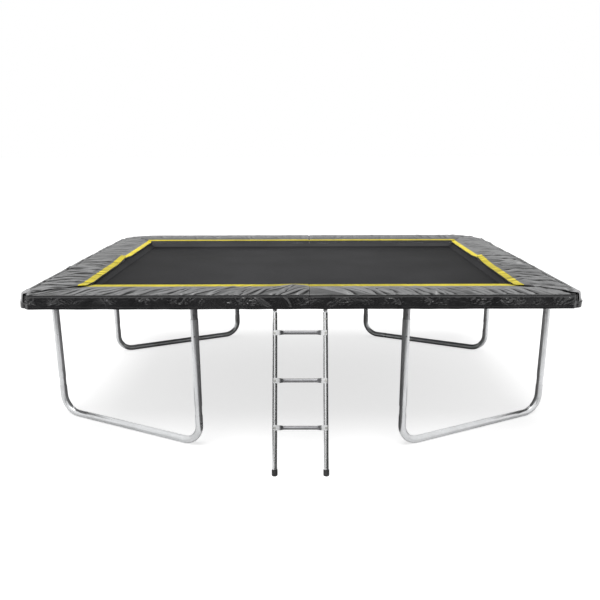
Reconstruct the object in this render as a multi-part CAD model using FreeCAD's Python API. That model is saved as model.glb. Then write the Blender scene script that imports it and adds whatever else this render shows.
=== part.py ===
import FreeCAD, Part
import math
import os
from FreeCAD import Vector

os.makedirs("parts", exist_ok=True)

# Rectangular garden trampoline on four bent-tube legs, with a hook-on ladder at its front.
# Millimetres. X runs along the long sides, the ladder stands at the front (-Y), Z is up from the floor.
# Places are worked out from the middle of the pads, and each piece is moved to the origin as it is kept.

# Pads, over their outer edges
pad_length = 3050.0
pad_width = 2130.0
pad_depth = 20.0
pad_band = 300.0
corner_cut = 105.0
pad_crown = 4.0
cover_sheet = 1.5
cover_outer_run = 45.0
cover_outer_drop = 11.0
cover_inner_slope = 12.0
backing_sheet = 1.0
edging_width = 46.0
edging_sheet = 1.0
front_seam_x = 50.0
back_seam_x = 65.0
side_overlap_y = 35.0
skirt_drop = 80.0
tie_width = 14.0
tie_strap = 1.5
ties_per_long_side = 6
ties_per_short_side = 4
tie_end_margin = 330.0

# Top frame
rail_inset = 32.0
rail_height = 845.0
rail_d = 42.0
rail_wall = 1.5
corner_radius = 150.0
corner_arm = 220.0
swage_taper = 8.0
spigot_length = 45.0
joiner_length = 160.0
tube_fit = 0.25

# Legs
leg_x = 568.0
leg_y = 590.0
leg_d = 42.0
leg_wall = 1.6
socket_drop = 205.0
socket_bore_wall = 1.6
leg_top_drop = 97.0
neck_top_z = 250.0
base_top_z = 190.0
neck_insert = 55.0
base_bend = 110.0
pole_hole_d = 8.5
pole_hole_drop = 70.0
pole_hole_pitch = 120.0
leg_screw_drop = 140.0
screw_d = 6.0
screw_head_d = 11.0
screw_head_h = 4.0
screw_tip = 3.0
screw_fit = 0.1
seat_gap = 0.2

# Jumping mat, its rings and its springs
mat_inset = 250.0
mat_sheet = 2.0
hem_width = 45.0
hem_sheet = 1.3
loop_width = 22.0
loop_sheet = 1.2
loop_length = 44.0
ring_wire = 4.0
ring_depth = 28.0
ring_base = 36.0
ring_nose = 10.0
ring_to_mat = 3.0
springs_per_long_side = 14
springs_per_short_side = 9
spring_end_margin = 60.0
spring_spigot_margin = 13.0
spring_wire_d = 3.8
spring_barrel_d = 22.0
spring_hook_run = 20.0
spring_shoulder = 9.0
spring_tip = 11.0
spring_hole = 6.0

# Ladder
ladder_width = 267.0
ladder_foot_out = 280.0
ladder_tube_d = 25.4
ladder_tube_wall = 1.5
hook_bar = 3.5
hook_clearance = 0.3
hook_tip = 8.0
hook_drop = 50.0
hook_in_tube = 70.0
hook_screw_down = 40.0
rung_drops = [568.0, 340.0, 105.0]
rung_d = 20.0
rung_wall = 1.5
rung_flat_height = 27.0
rung_flat_length = 30.0
rung_end_past = 7.0
rung_flare = 25.0
cap_wall = 2.3
cap_height = 26.0
cap_sole = 4.0
cap_fit = 0.2

rail_r = rail_d / 2
leg_r = leg_d / 2
half_length = pad_length / 2
half_width = pad_width / 2
rail_x = half_length - rail_inset
rail_y = half_width - rail_inset
rail_top = rail_height + rail_r
rail_bore_r = rail_r - rail_wall
hook_r = rail_r + hook_clearance
pad_bottom = rail_top + hook_clearance + hook_bar + hook_clearance
pad_top = pad_bottom + pad_depth
ring_top = rail_height + ring_wire / 2
hook_half = spring_wire_d * 0.4
spring_z = ring_top + seat_gap + hook_half
ladder_r = ladder_tube_d / 2
UP = Vector(0, 0, 1)

# The ladder leans from under the front rail to the floor
hook_y = -rail_y - hook_r - hook_bar / 2
foot_y = -half_width - ladder_foot_out
kink = Vector(0, hook_y, rail_height - hook_drop)
foot = Vector(0, foot_y, 0)
down = (foot - kink).normalize()
ahead = Vector(0, down.z, -down.y)

# The origin is on the floor below the middle of everything, ladder included
cap_r = ladder_r + cap_fit + cap_wall
front_reach = -foot_y + cap_r / -down.z
to_origin = Vector(0, (front_reach - half_width) / 2, 0)


def keep(name, solids):
    """Write one piece, or a group of like pieces, under its own name."""
    shape = Part.makeCompound(solids) if len(solids) > 1 else solids[0].copy()
    shape.translate(to_origin)
    shape.exportStep("parts/" + name + ".step")
    print(name, len(solids), "solids", round(shape.Volume / 1000.0, 1), "cm3")


class Side:
    """One side of the rectangle, walked anticlockwise: s runs along it, u inwards from the pads' edge."""

    def __init__(self, corner, along, length):
        self.corner = corner
        self.along = along
        self.inward = Vector(-along.y, along.x, 0)
        self.length = length

    def at(self, s, u, z):
        return self.corner + self.along * s + self.inward * u + UP * z

    def outline(self, s, profile):
        """A face across the side, through (u, z) points; (u, z, u, z) is an arc through its first pair."""
        edges = []
        last = self.at(s, *profile[-1][-2:])
        for step in profile:
            here = self.at(s, *step[-2:])
            if len(step) == 4:
                edges.append(Part.Arc(last, self.at(s, *step[:2]), here).toShape())
            else:
                edges.append(Part.LineSegment(last, here).toShape())
            last = here
        return Part.Face(Part.Wire(edges))

    def bar(self, profile, start, end, start_mitre=0, end_mitre=0):
        """A bar along the side, cut square or, where a mitre is 1, at 45 degrees with its corner off."""
        whole = self.outline(start, profile).extrude(self.along * (end - start))
        if not start_mitre and not end_mitre:
            return whole
        deep = max(step[-2] for step in profile)
        low = min(step[-1] for step in profile)
        half_cut = corner_cut / 2
        plan = [
            (start + start_mitre * corner_cut, 0), (end - end_mitre * corner_cut, 0),
            (end - end_mitre * half_cut, half_cut), (end - end_mitre * deep, deep),
            (start + start_mitre * deep, deep), (start + start_mitre * half_cut, half_cut),
        ]
        points = [self.at(s, u, low) for s, u in plan]
        cutter = Part.Face(Part.makePolygon(points + points[:1])).extrude(UP * (pad_top - low + pad_band))
        return whole.common(cutter).Solids[0]


sides = {
    "front": Side(Vector(-half_length, -half_width, 0), Vector(1, 0, 0), pad_length),
    "right": Side(Vector(half_length, -half_width, 0), Vector(0, 1, 0), pad_width),
    "back": Side(Vector(half_length, half_width, 0), Vector(-1, 0, 0), pad_length),
    "left": Side(Vector(-half_length, half_width, 0), Vector(0, -1, 0), pad_width),
}
long_sides = ("front", "back")


def band(u_low, u_high, z_low, z_high):
    """A rectangular (u, z) outline."""
    return [(u_low, z_low), (u_high, z_low), (u_high, z_high), (u_low, z_high)]


def tube(start, end, d, wall):
    """A straight round tube between two points."""
    run = end - start
    outer = Part.makeCylinder(d / 2, run.Length, start, run)
    return outer.cut(Part.makeCylinder(d / 2 - wall, run.Length, start, run))


def swage(start, end, start_d, end_d, wall):
    """The short cone where a tube is drawn down from one diameter to another."""
    run = end - start
    outer = Part.makeCone(start_d / 2, end_d / 2, run.Length, start, run)
    return outer.cut(Part.makeCone(start_d / 2 - wall, end_d / 2 - wall, run.Length, start, run))


def bent_rod(points, bend, radius):
    """A solid round rod through corner points, each corner bent to the same radius."""
    edges = []
    last = points[0]
    for before, corner, after in zip(points, points[1:], points[2:]):
        back = (before - corner).normalize()
        on = (after - corner).normalize()
        half = back.getAngle(on) / 2
        trim = bend / math.tan(half)
        entry = corner + back * trim
        leave = corner + on * trim
        middle = (back + on).normalize()
        top = corner + middle * (bend / math.sin(half) - bend)
        edges.append(Part.LineSegment(last, entry).toShape())
        edges.append(Part.Arc(entry, top, leave).toShape())
        last = leave
    edges.append(Part.LineSegment(last, points[-1]).toShape())
    path = Part.Wire(edges)
    section = Part.Wire(Part.makeCircle(radius, points[0], points[1] - points[0]))
    return path.makePipeShell([section], True, False)


def bent_tube(points, bend, d, wall):
    """A round tube through corner points."""
    return bent_rod(points, bend, d / 2).cut(bent_rod(points, bend, d / 2 - wall))


def spring_places(side_name):
    """Distances along one side at which its springs and rings lie."""
    side = sides[side_name]
    count = springs_per_long_side if side_name in long_sides else springs_per_short_side
    spigot_end = rail_inset + corner_arm + spigot_length
    first = max(mat_inset + spring_end_margin, spigot_end + spring_spigot_margin)
    pitch = (side.length - 2 * first) / (count - 1)
    return [first + i * pitch for i in range(count)]


def spring_holes(side_name):
    """The square holes through a rail's inner wall, one for each spring's hook."""
    side = sides[side_name]
    wall_u = rail_inset + rail_bore_r
    half = spring_hole / 2
    profile = band(wall_u - rail_wall, wall_u + 2 * rail_wall, spring_z - half, spring_z + half)
    holes = [side.bar(profile, s - half, s + half) for s in spring_places(side_name)]
    return Part.makeCompound(holes)


# Corner tubes: one bend each, with both ends drawn down to a spigot
spigot_d = 2 * (rail_bore_r - tube_fit)


def corner_tube(side):
    """The tube round the corner where a side starts."""
    turn = side.at(rail_inset, rail_inset, rail_height)
    ways = (side.along, side.inward)
    shoulders = [turn + way * (corner_arm - swage_taper) for way in ways]
    pieces = [bent_tube([shoulders[0], turn, shoulders[1]], corner_radius, rail_d, rail_wall)]
    for shoulder, way in zip(shoulders, ways):
        end = turn + way * corner_arm
        pieces.append(swage(shoulder, end, rail_d, spigot_d, rail_wall))
        pieces.append(tube(end, end + way * spigot_length, spigot_d, rail_wall))
    return pieces[0].fuse(pieces[1:]).removeSplitter()


corner_names = {"front": "front_left", "right": "front_right", "back": "back_right", "left": "back_left"}
for side_name, corner_name in corner_names.items():
    keep("corner_tube_" + corner_name, [corner_tube(sides[side_name])])

# Top rails: each long side in two halves over a joiner, each short side in one length
def rail(side_name, start, end):
    """A length of top rail with its springs' holes."""
    side = sides[side_name]
    first = side.at(start, rail_inset, rail_height)
    last = side.at(end, rail_inset, rail_height)
    return tube(first, last, rail_d, rail_wall).cut(spring_holes(side_name))


half_names = {"front": ("left", "right"), "back": ("right", "left")}
joiners = []
for side_name, side in sides.items():
    start = rail_inset + corner_arm
    end = side.length - start
    middle = side.length / 2
    if side_name in long_sides:
        keep("rail_" + side_name + "_" + half_names[side_name][0], [rail(side_name, start, middle)])
        keep("rail_" + side_name + "_" + half_names[side_name][1], [rail(side_name, middle, end)])
        reach = joiner_length / 2
        ends = [side.at(s, rail_inset, rail_height) for s in (middle - reach, middle + reach)]
        joiners.append(tube(ends[0], ends[1], spigot_d, rail_wall))
    else:
        keep("rail_" + side_name, [rail(side_name, start, end)])
keep("rail_joiners", joiners)

# Legs: sockets welded under the rails, straight upper tubes over them, and bent bases
leg_bore_r = leg_r - leg_wall
socket_r = leg_bore_r - tube_fit
screw_hole_r = screw_d / 2 + screw_fit


def pole_holes(foot, outward):
    """Two through holes, one above the other, that take the bolts of a net pole."""
    holes = []
    for i in range(2):
        start = foot + UP * (rail_height - pole_hole_drop - i * pole_hole_pitch)
        holes.append(Part.makeCylinder(pole_hole_d / 2, 2 * leg_d, start - outward * leg_d, outward))
    return Part.makeCompound(holes)


def screw(seat, inward, grip):
    """A screw whose head stands off its seat by the fit and whose shank reaches past the grip."""
    under_head = seat - inward * seat_gap
    head = Part.makeCylinder(screw_head_d / 2, screw_head_h, under_head, -inward)
    shank = Part.makeCylinder(screw_d / 2, seat_gap + grip + screw_tip, under_head, inward)
    return head.fuse(shank).removeSplitter()


def socket(foot, outward):
    """The stub under a rail that the leg's tube slides over, its top coped to the rail."""
    rail_axis = UP.cross(outward)
    cope = Part.makeCylinder(rail_r, 2 * leg_d, foot + UP * rail_height - rail_axis * leg_d, rail_axis)
    end_z = rail_height - socket_drop
    stub = tube(foot + UP * end_z, foot + UP * rail_height, 2 * socket_r, socket_bore_wall)
    return stub.cut(cope)


def leg_tube(foot):
    """The straight leg tube, its lower end drawn down to a neck that goes into the base."""
    shoulder = foot + UP * neck_top_z
    neck_end = shoulder - UP * swage_taper
    pieces = [tube(shoulder, foot + UP * (rail_height - leg_top_drop), leg_d, leg_wall)]
    pieces.append(swage(shoulder, neck_end, leg_d, 2 * socket_r, leg_wall))
    pieces.append(tube(neck_end, foot + UP * (base_top_z - neck_insert), 2 * socket_r, leg_wall))
    return pieces[0].fuse(pieces[1:]).removeSplitter()


corners = [("front_left", -1, -1), ("front_right", 1, -1), ("back_left", -1, 1), ("back_right", 1, 1)]
sockets = []
leg_screws = []
for corner_name, way_x, way_y in corners:
    feet = {
        "long": (Vector(way_x * leg_x, way_y * rail_y, 0), Vector(0, way_y, 0)),
        "short": (Vector(way_x * rail_x, way_y * leg_y, 0), Vector(way_x, 0, 0)),
    }
    for rail_name, (leg_foot, outward) in feet.items():
        seat = leg_foot + UP * (rail_height - leg_screw_drop) - outward * leg_r
        holes = [Part.makeCylinder(screw_hole_r, leg_r, seat - outward * leg_wall, outward)]
        if rail_name == "long":
            holes.append(pole_holes(leg_foot, outward))
        sockets.append(socket(leg_foot, outward).cut(holes))
        keep("leg_tube_" + corner_name + "_" + rail_name + "_side", [leg_tube(leg_foot).cut(holes)])
        leg_screws.append(screw(seat, outward, leg_wall + tube_fit + socket_bore_wall))
    near = feet["long"][0]
    far = feet["short"][0]
    route = [near + UP * base_top_z, near + UP * leg_r, far + UP * leg_r, far + UP * base_top_z]
    keep("leg_base_" + corner_name, [bent_tube(route, base_bend, leg_d, leg_wall)])
keep("leg_sockets", sockets)
keep("leg_screws", leg_screws)

# Mat: a woven sheet with a doubled hem, and a webbing loop for each ring
mat_low = rail_height - mat_sheet / 2
mat_size = (pad_length - 2 * mat_inset, pad_width - 2 * mat_inset)
mat_corner = Vector(-mat_size[0] / 2, -mat_size[1] / 2, mat_low)
keep("mat", [Part.makeBox(mat_size[0], mat_size[1], mat_sheet, mat_corner)])
hems = []
loops = []
rings = []
hem_end = mat_inset + hem_width
bar_out = mat_inset - ring_to_mat
bar_in = bar_out - ring_wire
ring_out = bar_out - ring_depth
hook_seat = ring_out + ring_wire
loop_nose = bar_in - seat_gap - loop_sheet
loop_low = mat_low - hem_sheet
loop_high = mat_low + mat_sheet + hem_sheet


def ring(side, s):
    """A flat triangular wire ring that lies between a spring's hook and the mat's loop."""
    slope = (ring_base - ring_nose) / 2 / ring_depth
    side_wire = ring_wire * math.sqrt(1 + slope * slope)
    base = (ring_base / 2, ring_base / 2 - slope * ring_wire - side_wire)
    nose = (ring_nose / 2, ring_nose / 2 + slope * ring_wire - side_wire)
    faces = []
    for base_half, nose_half, base_u, nose_u in zip(base, nose, (bar_out, bar_in), (ring_out, hook_seat)):
        corners_u = [(-base_half, base_u), (base_half, base_u), (nose_half, nose_u), (-nose_half, nose_u)]
        points = [side.at(s + across, u, ring_top - ring_wire) for across, u in corners_u]
        faces.append(Part.Face(Part.makePolygon(points + points[:1])))
    return faces[0].cut(faces[1]).extrude(UP * ring_wire).Solids[0]


for side_name, side in sides.items():
    for z_low in (loop_low, mat_low + mat_sheet):
        profile = band(mat_inset, hem_end, z_low, z_low + hem_sheet)
        hems.append(side.bar(profile, 0, side.length, 1, 1))
    for s in spring_places(side_name):
        profile = [
            (loop_nose, loop_low - loop_sheet), (loop_nose + loop_length, loop_low - loop_sheet),
            (loop_nose + loop_length, loop_low), (loop_nose + loop_sheet, loop_low),
            (loop_nose + loop_sheet, loop_high), (loop_nose + loop_length, loop_high),
            (loop_nose + loop_length, loop_high + loop_sheet), (loop_nose, loop_high + loop_sheet),
        ]
        loops.append(side.bar(profile, s - loop_width / 2, s + loop_width / 2))
        rings.append(ring(side, s))
keep("mat_hem", hems)
keep("mat_loops", loops)
keep("mat_rings", rings)

# Springs: a close-wound barrel between two hooks, one in the rail's hole and one in the ring
coil_r = (spring_barrel_d - spring_wire_d) / 2
tip_drop = spring_z - spring_tip - rail_height
hook_out = rail_inset + math.sqrt(rail_bore_r ** 2 - tip_drop ** 2) - hook_half - seat_gap
hook_in = hook_seat + hook_half + seat_gap
barrel_out = rail_inset + rail_r + spring_hook_run
barrel_in = hook_in - spring_hook_run


def spring_hook(tip, barrel):
    """A hook from the barrel's end wall to the axis, along it and down through the hole at its tip."""
    way = math.copysign(1, barrel - tip)
    half = hook_half * way
    shoulder_x = barrel - spring_shoulder * way
    inside_x = barrel + spring_wire_d * way
    points = [
        (tip - half, -spring_tip), (tip + half, -spring_tip), (tip + half, -hook_half),
        (shoulder_x, -hook_half), (barrel, coil_r - hook_half), (inside_x, coil_r - hook_half),
        (inside_x, coil_r + hook_half), (barrel, coil_r + hook_half), (shoulder_x, hook_half),
        (tip - half, hook_half),
    ]
    corners_xz = [Vector(x, -hook_half, z) for x, z in points]
    return Part.Face(Part.makePolygon(corners_xz + corners_xz[:1])).extrude(Vector(0, 2 * hook_half, 0))


def spring():
    """One spring along X, measured from the pads' edge, about its own axis."""
    barrel = tube(Vector(barrel_out, 0, 0), Vector(barrel_in, 0, 0), spring_barrel_d, spring_wire_d)
    return barrel.fuse([spring_hook(hook_out, barrel_out), spring_hook(hook_in, barrel_in)]).removeSplitter()


one_spring = spring().Solids[0]
for side_name, side in sides.items():
    heading = FreeCAD.Rotation(Vector(1, 0, 0), side.inward)
    springs = []
    for s in spring_places(side_name):
        placed = one_spring.copy()
        placed.Placement = FreeCAD.Placement(side.at(s, 0, spring_z), heading)
        springs.append(placed)
    keep("springs_" + side_name, springs)

# Pads: eight covers, each a folded sheet over a foam core with a backing sheet, mitred at the corners
shoulder = pad_top - pad_crown
flat_from = cover_outer_run
flat_to = pad_band - cover_inner_slope
crown_u = (flat_from + flat_to) / 2
crown_half = (flat_to - flat_from) / 2
crown_r = (crown_half ** 2 + pad_crown ** 2) / 2 / pad_crown


def crown_z(u):
    """Height of the pads' crowned top at one distance from their outer edge."""
    return pad_top - crown_r + math.sqrt(crown_r ** 2 - (u - crown_u) ** 2)


inner_wall = pad_band - cover_sheet
foam_low = pad_bottom + backing_sheet
cover_profile = [
    (0, pad_bottom), (0, shoulder - cover_outer_drop), (flat_from, shoulder),
    (crown_u, pad_top, flat_to, shoulder), (pad_band, shoulder - cover_inner_slope), (pad_band, pad_bottom),
]
foam_top = [
    (cover_sheet, shoulder - cover_outer_drop - cover_sheet), (flat_from, shoulder - cover_sheet),
    (crown_u, pad_top - cover_sheet, flat_to, shoulder - cover_sheet),
    (inner_wall, shoulder - cover_inner_slope),
]
foam_profile = [(cover_sheet, foam_low)] + foam_top + [(inner_wall, foam_low)]
cavity_profile = [(cover_sheet, pad_bottom)] + foam_top + [(inner_wall, pad_bottom)]
backing_profile = band(cover_sheet, inner_wall, pad_bottom, foam_low)
edge_start = pad_band - edging_width
edge_mid = (edge_start + flat_to) / 2
edging_profile = [
    (edge_start, crown_z(edge_start) + edging_sheet),
    (edge_mid, crown_z(edge_mid) + edging_sheet, flat_to, shoulder + edging_sheet),
    (pad_band, shoulder - cover_inner_slope + edging_sheet), (pad_band, shoulder - cover_inner_slope),
    (flat_to, shoulder), (edge_mid, crown_z(edge_mid), edge_start, crown_z(edge_start)),
]
skirt_profile = band(0, cover_sheet, pad_top - skirt_drop, pad_bottom)
seams = {
    "front": (half_length + front_seam_x, ("front_left", "front_right")),
    "right": (half_width + side_overlap_y, ("right_front", "right_back")),
    "back": (half_length - back_seam_x, ("back_right", "back_left")),
    "left": (half_width - side_overlap_y, ("left_back", "left_front")),
}
mitre_wall = cover_sheet * math.sqrt(2)
foams = []
backings = []
edgings = []
for side_name, side in sides.items():
    seam, pad_names = seams[side_name]
    skirts = []
    for pad_name, start, end, cuts in zip(pad_names, (0, seam), (seam, side.length), ((1, 0), (0, 1))):
        walls = [mitre_wall if cut else cover_sheet for cut in cuts]
        inside = (start + walls[0], end - walls[1])
        cover = side.bar(cover_profile, start, end, *cuts).cut(side.bar(cavity_profile, *inside, *cuts))
        keep("pad_cover_" + pad_name, [cover])
        foams.append(side.bar(foam_profile, *inside, *cuts))
        backings.append(side.bar(backing_profile, *inside, *cuts))
        edgings.append(side.bar(edging_profile, start, end, *cuts))
        hung = (start + cuts[0] * corner_cut, end - cuts[1] * corner_cut)
        skirts.append(side.bar(skirt_profile, *hung))
    flap_plan = [(corner_cut, 0), (corner_cut, mitre_wall), (mitre_wall, corner_cut), (0, corner_cut)]
    flap = [side.at(s, u, pad_top - skirt_drop) for s, u in flap_plan]
    skirts.append(Part.Face(Part.makePolygon(flap + flap[:1])).extrude(UP * (pad_bottom - flap[0].z)))
    keep("skirt_" + side_name, skirts)
keep("pad_foams", foams)
keep("pad_backings", backings)
keep("pad_edging", edgings)

# Ties: straps that hold the pads down round the rail
tie_in = rail_inset - rail_r - seat_gap
tie_out = rail_inset + rail_r + seat_gap
tie_low = rail_height - rail_r - seat_gap
tie_profile = [
    (tie_in, pad_bottom), (tie_in - tie_strap, pad_bottom), (tie_in - tie_strap, tie_low - tie_strap),
    (tie_out + tie_strap, tie_low - tie_strap), (tie_out + tie_strap, pad_bottom), (tie_out, pad_bottom),
    (tie_out, tie_low), (tie_in, tie_low),
]
ties = []
for side_name, side in sides.items():
    count = ties_per_long_side if side_name in long_sides else ties_per_short_side
    pitch = (side.length - 2 * tie_end_margin) / (count - 1)
    for i in range(count):
        s = tie_end_margin + i * pitch
        ties.append(side.bar(tie_profile, s - tie_width / 2, s + tie_width / 2))
keep("pad_ties", ties)

# Ladder: two leaning tubes with hooks over the front rail, three rungs and two foot caps
ladder_bore_r = ladder_r - ladder_tube_wall
hook_bar_width = 2 * math.sqrt((ladder_bore_r - tube_fit) ** 2 - (hook_bar / 2) ** 2)
RIGHT = Vector(1, 0, 0)


def on_ladder(x, z):
    """The point on a ladder tube's axis at one height."""
    return RIGHT * x + kink + down * ((z - kink.z) / down.z)


def below(z):
    """Everything under one height, for cutting the ladder's feet."""
    span = 2 * ladder_width
    return Part.makeBox(2 * span, 2 * span, span, Vector(-span, foot_y - span, z - span))


def hook(x):
    """A flat bar bent over the rail, with a shank that ends inside the ladder tube."""
    left = Vector(x - hook_bar_width / 2, -rail_y, rail_height)
    outer = Part.makeCylinder(hook_r + hook_bar, hook_bar_width, left, RIGHT)
    crook = outer.cut(Part.makeCylinder(hook_r, hook_bar_width, left, RIGHT))
    lower = Part.makeBox(hook_bar_width, 4 * hook_r, 2 * hook_r, left - Vector(0, 2 * hook_r, 2 * hook_r))
    crook = crook.cut(lower)
    tip = Part.makeBox(hook_bar_width, hook_bar, hook_tip, left + Vector(0, hook_r, -hook_tip))
    half = hook_bar / 2
    end = kink + down * hook_in_tube
    bend = half * math.tan(down.getAngle(-UP) / 2)
    shank = [
        (hook_y - half, rail_height), (hook_y - half, kink.z - bend),
        (end.y + ahead.y * half, end.z + ahead.z * half), (end.y - ahead.y * half, end.z - ahead.z * half),
        (hook_y + half, kink.z + bend), (hook_y + half, rail_height),
    ]
    corners_yz = [Vector(left.x, y, z) for y, z in shank]
    bar = Part.Face(Part.makePolygon(corners_yz + corners_yz[:1])).extrude(RIGHT * hook_bar_width)
    screw_at = kink + RIGHT * x + down * hook_screw_down
    hole = Part.makeCylinder(screw_hole_r, 2 * hook_bar, screw_at - ahead * hook_bar, ahead)
    return crook.fuse([tip, bar]).removeSplitter().cut(hole)


def pressed_bar(stations):
    """A round bar along X, pressed flat towards its ends; each station is (x, radius, depth)."""
    both = [(-x, radius, depth) for x, radius, depth in reversed(stations)] + stations
    turned = [Vector(both[0][0], 0, 0)] + [Vector(x, 0, radius) for x, radius, depth in both]
    turned.append(Vector(both[-1][0], 0, 0))
    whole = Part.Face(Part.makePolygon(turned + turned[:1])).revolve(Vector(0, 0, 0), RIGHT, 360)
    plan = [Vector(x, depth, -rung_flat_height) for x, radius, depth in both]
    plan += [Vector(x, -depth, -rung_flat_height) for x, radius, depth in reversed(both)]
    press = Part.Face(Part.makePolygon(plan + plan[:1])).extrude(UP * 2 * rung_flat_height)
    return whole.common(press).Solids[0]


def rung(z):
    """A round tube pressed flat at both ends, where it is screwed to the ladder tubes."""
    reach = ladder_width / 2 + rung_end_past
    flat_at = reach - rung_flat_length
    round_at = flat_at - rung_flare
    round_r = rung_d / 2
    flat_r = rung_flat_height / 2
    body = [
        (round_at, round_r, round_r + seat_gap),
        (flat_at, flat_r, rung_wall),
        (reach, flat_r, rung_wall),
    ]
    bore = [(round_at, round_r - rung_wall, round_r), (flat_at, flat_r - rung_wall, seat_gap / 2)]
    solid = pressed_bar(body).cut(pressed_bar(bore))
    centre = on_ladder(0, z) + ahead * (ladder_r + seat_gap + rung_wall)
    solid.Placement = FreeCAD.Placement(centre, FreeCAD.Rotation(-UP, down))
    for way in (-1, 1):
        screw_at = on_ladder(way * ladder_width / 2, z)
        solid = solid.cut(Part.makeCylinder(screw_hole_r, 2 * rung_d, screw_at, ahead))
    return solid


ladder_screws = []
for side_name, way in (("left", -1), ("right", 1)):
    x = way * ladder_width / 2
    top = kink + RIGHT * x + down * (hook_bar + seat_gap)
    ladder_tube = tube(top, foot + RIGHT * x + down * ladder_tube_d, ladder_tube_d, ladder_tube_wall)
    ladder_tube = ladder_tube.cut(below(cap_sole))
    seats = [(on_ladder(x, kink.z - drop), seat_gap + 2 * rung_wall) for drop in rung_drops]
    seats.append((kink + RIGHT * x + down * hook_screw_down, 0))
    for centre, under in seats:
        ladder_tube = ladder_tube.cut(Part.makeCylinder(screw_hole_r, 2 * ladder_r, centre, ahead))
        grip = under + (ladder_tube_wall if under else ladder_r + hook_bar / 2)
        ladder_screws.append(screw(centre + ahead * (ladder_r + under), -ahead, grip))
    keep("ladder_tube_" + side_name, [ladder_tube])
    keep("ladder_hook_" + side_name, [hook(x)])
    cap_top = on_ladder(x, cap_height)
    cap_run = cap_height + 2 * ladder_tube_d
    cap = Part.makeCylinder(cap_r, cap_run, cap_top, down)
    core = Part.makeCylinder(ladder_r + cap_fit, cap_run, cap_top, down).cut(below(cap_sole))
    keep("ladder_foot_cap_" + side_name, [cap.cut(core).cut(below(0))])
for rung_name, drop in zip(("bottom", "middle", "top"), rung_drops):
    keep("rung_" + rung_name, [rung(kink.z - drop)])
keep("ladder_screws", ladder_screws)
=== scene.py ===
import math
import bpy
import numpy as np
from mathutils import Matrix, Vector


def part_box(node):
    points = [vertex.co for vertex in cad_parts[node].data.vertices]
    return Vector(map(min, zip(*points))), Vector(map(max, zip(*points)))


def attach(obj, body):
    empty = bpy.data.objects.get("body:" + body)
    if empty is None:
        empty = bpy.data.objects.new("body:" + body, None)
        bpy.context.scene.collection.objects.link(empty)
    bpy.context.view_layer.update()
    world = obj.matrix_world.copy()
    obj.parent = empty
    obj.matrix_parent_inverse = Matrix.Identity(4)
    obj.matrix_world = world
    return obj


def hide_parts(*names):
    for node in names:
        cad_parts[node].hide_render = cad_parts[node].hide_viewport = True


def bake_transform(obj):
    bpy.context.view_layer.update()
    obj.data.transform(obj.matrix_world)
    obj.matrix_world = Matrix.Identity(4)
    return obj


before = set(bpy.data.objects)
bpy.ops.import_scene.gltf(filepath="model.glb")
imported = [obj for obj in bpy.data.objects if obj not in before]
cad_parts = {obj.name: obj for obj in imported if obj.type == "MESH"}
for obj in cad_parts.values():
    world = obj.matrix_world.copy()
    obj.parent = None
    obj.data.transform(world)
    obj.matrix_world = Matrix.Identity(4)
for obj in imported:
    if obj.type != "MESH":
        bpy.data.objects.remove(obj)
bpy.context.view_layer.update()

# Camera
# It stands in front of the ladder at a grown person's eye height, a little right of the middle, and looks
# slightly down, so that the mat shows as a thin dark slab behind the front pads. Its angles are in radians.
mat_low, mat_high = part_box("mat")
pads_middle_y = (mat_low.y + mat_high.y) / 2
eye = Vector((0.0176, pads_middle_y - 4.2003, 1.6687))
look_down = 0.2521
turned = -0.0059
rolled = -0.0035
photo_width_px = 600
lens_px = 615.9
level_right = Vector((math.cos(turned), -math.sin(turned), 0))
level_ahead = Vector((math.sin(turned), math.cos(turned), 0))
ahead = level_ahead * math.cos(look_down) - Vector((0, 0, math.sin(look_down)))
above = level_ahead * math.sin(look_down) + Vector((0, 0, math.cos(look_down)))
right = level_right * math.cos(rolled) + above * math.sin(rolled)
above = above * math.cos(rolled) - level_right * math.sin(rolled)
camera_data = bpy.data.cameras.new("photo_camera")
camera_data.sensor_width = 36.0
camera_data.lens = lens_px / photo_width_px * camera_data.sensor_width
camera_data.clip_end = 200.0
camera = bpy.data.objects.new("photo_camera", camera_data)
camera.matrix_world = Matrix.Translation(eye) @ Matrix((right, above, -ahead)).transposed().to_4x4()
bpy.context.collection.objects.link(camera)
bpy.context.scene.camera = camera

# Studio
# A white floor that runs on into a white background, an even sky of soft light and one broad lamp overhead.
# Black and grey cards stand by the tubes, lie before the skirt and under the mat and hang overhead, and two
# cards that glow hang low over the ground tubes.
# They show only as reflections, for the steel and the coated sheet to mirror: painted reflections.
bpy.context.scene.view_settings.view_transform = "Standard"
sky_light = 0.68
lamp_light = 2.05
lamp_spread = math.radians(40)
lamp_lean = (math.radians(14), math.radians(-6), 0)
floor_reach = 60.0
white = (1, 1, 1, 1)


def feed(made, inputs):
    """Set a node's inputs, given as numbers, colours, sockets or whole nodes."""
    for key, value in inputs.items():
        if isinstance(value, bpy.types.Node):
            value = value.outputs[0]
        if isinstance(value, bpy.types.NodeSocket):
            made.id_data.links.new(value, made.inputs[key])
        else:
            made.inputs[key].default_value = value


def node(tree, kind, inputs=None, **settings):
    """One node with its settings and inputs."""
    made = tree.nodes.new("ShaderNode" + kind)
    for key, value in settings.items():
        setattr(made, key, value)
    feed(made, inputs or {})
    return made


def reckon(tree, operation, *values):
    """One step of arithmetic on up to three values."""
    return node(tree, "Math", dict(enumerate(values)), operation=operation)


def bare_tree(thing):
    """The node tree of a world or a material, emptied."""
    thing.use_nodes = True
    thing.node_tree.nodes.clear()
    return thing.node_tree


def seen_by(tree, *rays):
    """1 for rays of any of these kinds, and 0 for light on its way elsewhere."""
    path = node(tree, "LightPath")
    seen = path.outputs[rays[0]]
    for ray in rays[1:]:
        seen = reckon(tree, "MAXIMUM", seen, path.outputs[ray])
    return seen


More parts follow.
